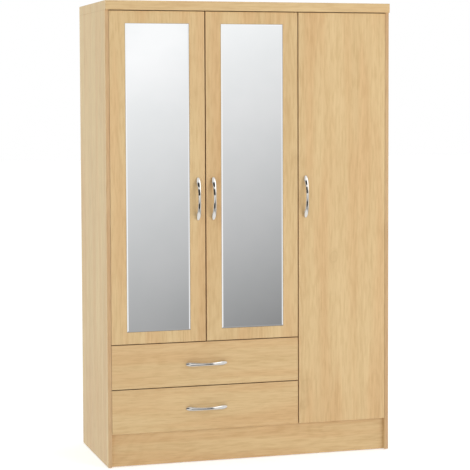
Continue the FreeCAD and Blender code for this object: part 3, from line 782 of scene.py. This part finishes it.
def fastener(group):
    """Where a screw or nail's head is, which way it faces, and its sizes."""
    (width, length), axis = size_of(group)
    low, high = corners_of([vert.co for vert in group])
    centre = Vector([(low[i] + high[i]) / 2 for i in range(3)])

    def radius_of(vert):
        away = vert.co - centre
        away[axis] = 0.0
        return away.length

    at_high = max(radius_of(v) for v in group if v.co[axis] > high[axis] - END_BAND)
    at_low = max(radius_of(v) for v in group if v.co[axis] < low[axis] + END_BAND)
    sign = 1 if at_high > at_low else -1
    top = high[axis] if sign > 0 else low[axis]
    seat, aim = centre.copy(), Vector((0, 0, 0))
    seat[axis] = top
    aim[axis] = sign
    widest = max(radius_of(v) for v in group)
    head = max(abs(v.co[axis] - top) for v in group if radius_of(v) > 0.85 * widest)
    shank = max(radius_of(v) for v in group if abs(v.co[axis] - top) > head + END_BAND)
    return (width, length), (seat, aim), (widest, high[axis] - low[axis], head, shank)


def fasteners(node, make_shape, wanted):
    """Meshes of all the screws or nails of a node, rebuilt with proper heads."""
    bm = merged_copy(node)
    sorts = {}
    for group in islands(bm):
        if wanted and size_of(group)[0] not in wanted:
            continue
        key, spot, sizes = fastener(group)
        sorts.setdefault(key, (sizes, []))[1].append(spot)
    bm.free()
    meshes = []
    for i, (sizes, spots) in enumerate(sorts[key] for key in sorted(sorts)):
        name = "%s_sort_%d" % (node, i + 1)
        meshes.append(repeated(name, make_shape(name, *sizes), STEEL, spots))
    return meshes


def hardware(node, material, soften=SOFT_CORNER, screws=False):
    """A fitting with softened corners; its screws, if any, are rebuilt with driver recesses."""
    bm = rounded_shape(node, soften, screws)
    if screws:
        for extra in fasteners(node, screw_shape, SCREW_SIZES):
            bm.from_mesh(extra)
            bpy.data.meshes.remove(extra)
    mesh = bpy.data.meshes.new(node + "_shape")
    bm.to_mesh(mesh)
    bm.free()
    mesh.materials.clear()
    mesh.materials.append(material)
    return finish_piece(mesh, node + "_part", BODY_OF_NODE[node], [node], True)


def all_fasteners(node, make_shape, wanted=None):
    """A node made only of screws or nails."""
    bm = bmesh.new()
    for extra in fasteners(node, make_shape, wanted):
        bm.from_mesh(extra)
        bpy.data.meshes.remove(extra)
    mesh = bpy.data.meshes.new(node + "_shape")
    bm.to_mesh(mesh)
    bm.free()
    mesh.materials.append(STEEL)
    return finish_piece(mesh, node + "_set", BODY_OF_NODE[node], [node], True)


PARTS = {"cam_locks": ZINC, "cam_bolts": STEEL, "dowels": BEECH, "floor_glides": NYLON,
         "cabinet_runners": PAINT, "hanging_rail": CHROME_PAINTED_REFLECTION, "rail_sockets": STEEL,
         "wall_brackets": STEEL, "hinge_arms": STEEL, "hinge_plates": STEEL, "shelf_pins": STEEL,
         "left_hinge_links": STEEL, "middle_hinge_links": STEEL, "right_hinge_links": STEEL,
         "lower_drawer_runners": PAINT, "upper_drawer_runners": PAINT}
for node, material in PARTS.items():
    hardware(node, material)
for node in ("left_door_fittings", "middle_door_fittings", "right_door_fittings",
             "lower_drawer_fixings", "upper_drawer_fixings"):
    hardware(node, STEEL, screws=True)
all_fasteners("carcass_screws", screw_shape)
all_fasteners("back_nails", nail_shape)


# ---------------------------------------------------------------- rollers
# Outline of a roller turned round: radius and place along the axle, in millimetres.
ROLLER_PROFILE = ((2.50, 0.00), (4.20, 0.00), (4.45, 0.25), (4.60, 1.30), (7.30, 1.30),
                  (7.60, 0.35), (8.00, 0.15), (9.40, 0.15), (9.95, 0.70), (10.00, 2.70),
                  (9.60, 3.10), (9.60, 4.10), (10.00, 4.50), (9.95, 6.50), (9.40, 7.05),
                  (8.00, 7.05), (7.60, 6.85), (7.30, 5.90), (4.60, 5.90), (4.45, 6.95),
                  (4.20, 7.20), (2.50, 7.20))


def rollers(node):
    """Turned nylon rollers with a hub, a thin web and a grooved tread."""
    source = merged_copy(node)
    bm = bmesh.new()
    for group in islands(source):
        low, high = corners_of([vert.co for vert in group])
        y, z = (low[1] + high[1]) / 2, (low[2] + high[2]) / 2
        grow = (high[2] - low[2]) / (ROLLER_DIAMETER * MM)
        rings = []
        for radius, across in ROLLER_PROFILE:
            reach = radius * MM * grow
            ring = []
            for k in range(ROLLER_SIDES):
                a = math.tau * k / ROLLER_SIDES
                spot = (low[0] + across * MM, y + reach * math.cos(a), z + reach * math.sin(a))
                ring.append(bm.verts.new(spot))
            rings.append(ring)
        for first, second in zip(rings, rings[1:] + rings[:1]):
            for k in range(ROLLER_SIDES):
                n = (k + 1) % ROLLER_SIDES
                bm.faces.new((first[k], first[n], second[n], second[k]))
    source.free()
    bmesh.ops.recalc_face_normals(bm, faces=bm.faces)
    mesh = bpy.data.meshes.new(node + "_shape")
    bm.to_mesh(mesh)
    bm.free()
    mesh.materials.append(NYLON)
    return finish_piece(mesh, node + "_turned", BODY_OF_NODE[node], [node],
                        smooth=True)


for level in ("lower", "upper"):
    rollers(level + "_drawer_front_rollers")
    rollers(level + "_drawer_rear_rollers")


# ---------------------------------------------------------------- stage
def make_floor():
    f = Finish("studio_floor")
    mottle = f.noise(place(f), scale=2.0, detail=2.0)
    colour = f.blend(mottle, tone(246, 246, 245), tone(250, 250, 249))
    material = f.surface(Base_Color=colour, Roughness=0.9, Emission_Color=(1, 1, 1, 1),
                         Emission_Strength=FLOOR_GLOW)
    mesh = bpy.data.meshes.new("studio_floor")
    reach = STUDIO_FLOOR_REACH
    corners = [(-reach, -reach, 0), (reach, -reach, 0), (reach, reach, 0), (-reach, reach, 0)]
    mesh.from_pydata(corners, [], [(0, 1, 2, 3)])
    mesh.materials.append(material)
    floor = bpy.data.objects.new("studio_floor", mesh)
    bpy.context.scene.collection.objects.link(floor)
    floor.visible_glossy = False


def make_world():
    """White surroundings for the eye; reflections see a sweep that darkens towards the floor."""
    w = Finish("studio", world=True)
    x, y, z = w.split(w.node("ShaderNodeTexCoord", None, None, out=0))
    turn = w.node("ShaderNodeMath", {"operation": "ARCTAN2"}, {0: x, 1: 0.0 - y})

    def window(value, a, b, c, d):
        return w.spread(value, a, b) * w.spread(value, c, d, 1.0, 0.0)

    def swap(first, second, amount):
        return first + (second - first) * amount

    # The sweep: white above, grey towards the floor and towards the right.
    fall = w.node("ShaderNodeMath", {"operation": "ADD", "use_clamp": True},
                  {0: z * 3.6 - turn * 1.66, 1: 1.30})
    shine = swap(fall, 0.90, w.spread(turn, 0.38, 0.62))
    # The floor: a grey ring far off, white close to.
    shine = swap(shine, 0.45, w.spread(z, -0.42, -0.52))
    shine = swap(shine, 1.00, w.spread(z, -0.58, -0.72))
    # Dark cloths: one at the left, three bands ahead. They draw the lines in the chrome.
    at_left = window(turn, -1.50, -1.30, -0.86, -0.66)
    shine = swap(shine, 0.05, at_left * window(z, -0.26, -0.16, 0.3, 0.45))
    ahead = window(turn, -0.80, -0.60, 0.48, 0.62)
    shine = swap(shine, 0.04, ahead * window(z, 0.06, 0.10, 0.33, 0.39))
    shine = swap(shine, 0.04, ahead * window(z, 0.46, 0.51, 0.66, 0.78))
    shine = swap(shine, 0.04, ahead * window(z, -0.44, -0.38, -0.27, -0.22))
    # A bright panel at the right, and the wall behind the wardrobe.
    at_right = window(turn, 0.50, 0.62, 1.00, 1.20)
    shine = swap(shine, 2.20, at_right * window(z, 0.12, 0.25, 0.70, 0.85))
    shine = swap(shine, 0.9, w.spread(y, -0.3, 0.4))
    soft = 0.69 - window(turn, -0.42, -0.20, 0.20, 0.42) * 0.60
    ray = w.node("ShaderNodeLightPath", None, None, out=3)
    seen = w.node("ShaderNodeLightPath", None, None, out=0)
    strength = swap(swap(soft, shine, ray), 1.0, seen)
    sky = w.node("ShaderNodeBackground", None, {0: (1.0, 1.0, 1.0, 1.0), 1: strength})
    w.node("ShaderNodeOutputWorld", None, {0: sky})
    bpy.context.scene.world = w.data


def area_light(name, spot, target, size, energy, colour=(1, 1, 1)):
    data = bpy.data.lights.new(name, "AREA")
    data.shape = "RECTANGLE"
    data.size, data.size_y = size
    data.energy = energy
    data.color = colour
    light = bpy.data.objects.new(name, data)
    light.location = spot
    aim = Vector(target) - Vector(spot)
    light.rotation_euler = aim.to_track_quat("-Z", "Y").to_euler()
    bpy.context.scene.collection.objects.link(light)
    light.visible_glossy = False
    return light


# The camera stands in front, to the left and at shoulder height.
CAMERA_SPOT = (-1.91075, -6.45178, 1.45218)
CAMERA_LENS = 125.82
CAMERA_SHIFT = -0.09
CAMERA_TURN, CAMERA_DIP, CAMERA_LEAN = 16.5297, 3.3819, -0.2108


def make_camera():
    data = bpy.data.cameras.new("camera")
    data.sensor_width = 36.0
    data.lens = CAMERA_LENS
    data.shift_y = CAMERA_SHIFT
    data.clip_end = 200.0
    camera = bpy.data.objects.new("camera", data)
    turn, dip, lean = [math.radians(a) for a in (CAMERA_TURN, CAMERA_DIP, CAMERA_LEAN)]
    flat_right = Vector((math.cos(turn), -math.sin(turn), 0))
    flat_ahead = Vector((math.sin(turn), math.cos(turn), 0))
    level_up = Vector((0, 0, 1))
    ahead = flat_ahead * math.cos(dip) - level_up * math.sin(dip)
    flat_up = flat_ahead * math.sin(dip) + level_up * math.cos(dip)
    right = flat_right * math.cos(lean) + flat_up * math.sin(lean)
    up = flat_up * math.cos(lean) - flat_right * math.sin(lean)
    pose = Matrix((right, up, -ahead)).transposed().to_4x4()
    pose.translation = Vector(CAMERA_SPOT)
    camera.matrix_world = pose
    bpy.context.scene.collection.objects.link(camera)
    bpy.context.scene.camera = camera


make_floor()
make_world()
area_light("key", (3.3, -5.2, 2.9), (0.2, 0, 1.1), (3.6, 3.6), 122)
COOL = (0.50, 0.83, 1.0)
area_light("side_fill", (-5.0, -0.8, 2.2), (-0.5, 0, 0.9), (2.5, 2.5), 46, COOL)
make_camera()
bpy.context.scene.view_settings.view_transform = "Standard"
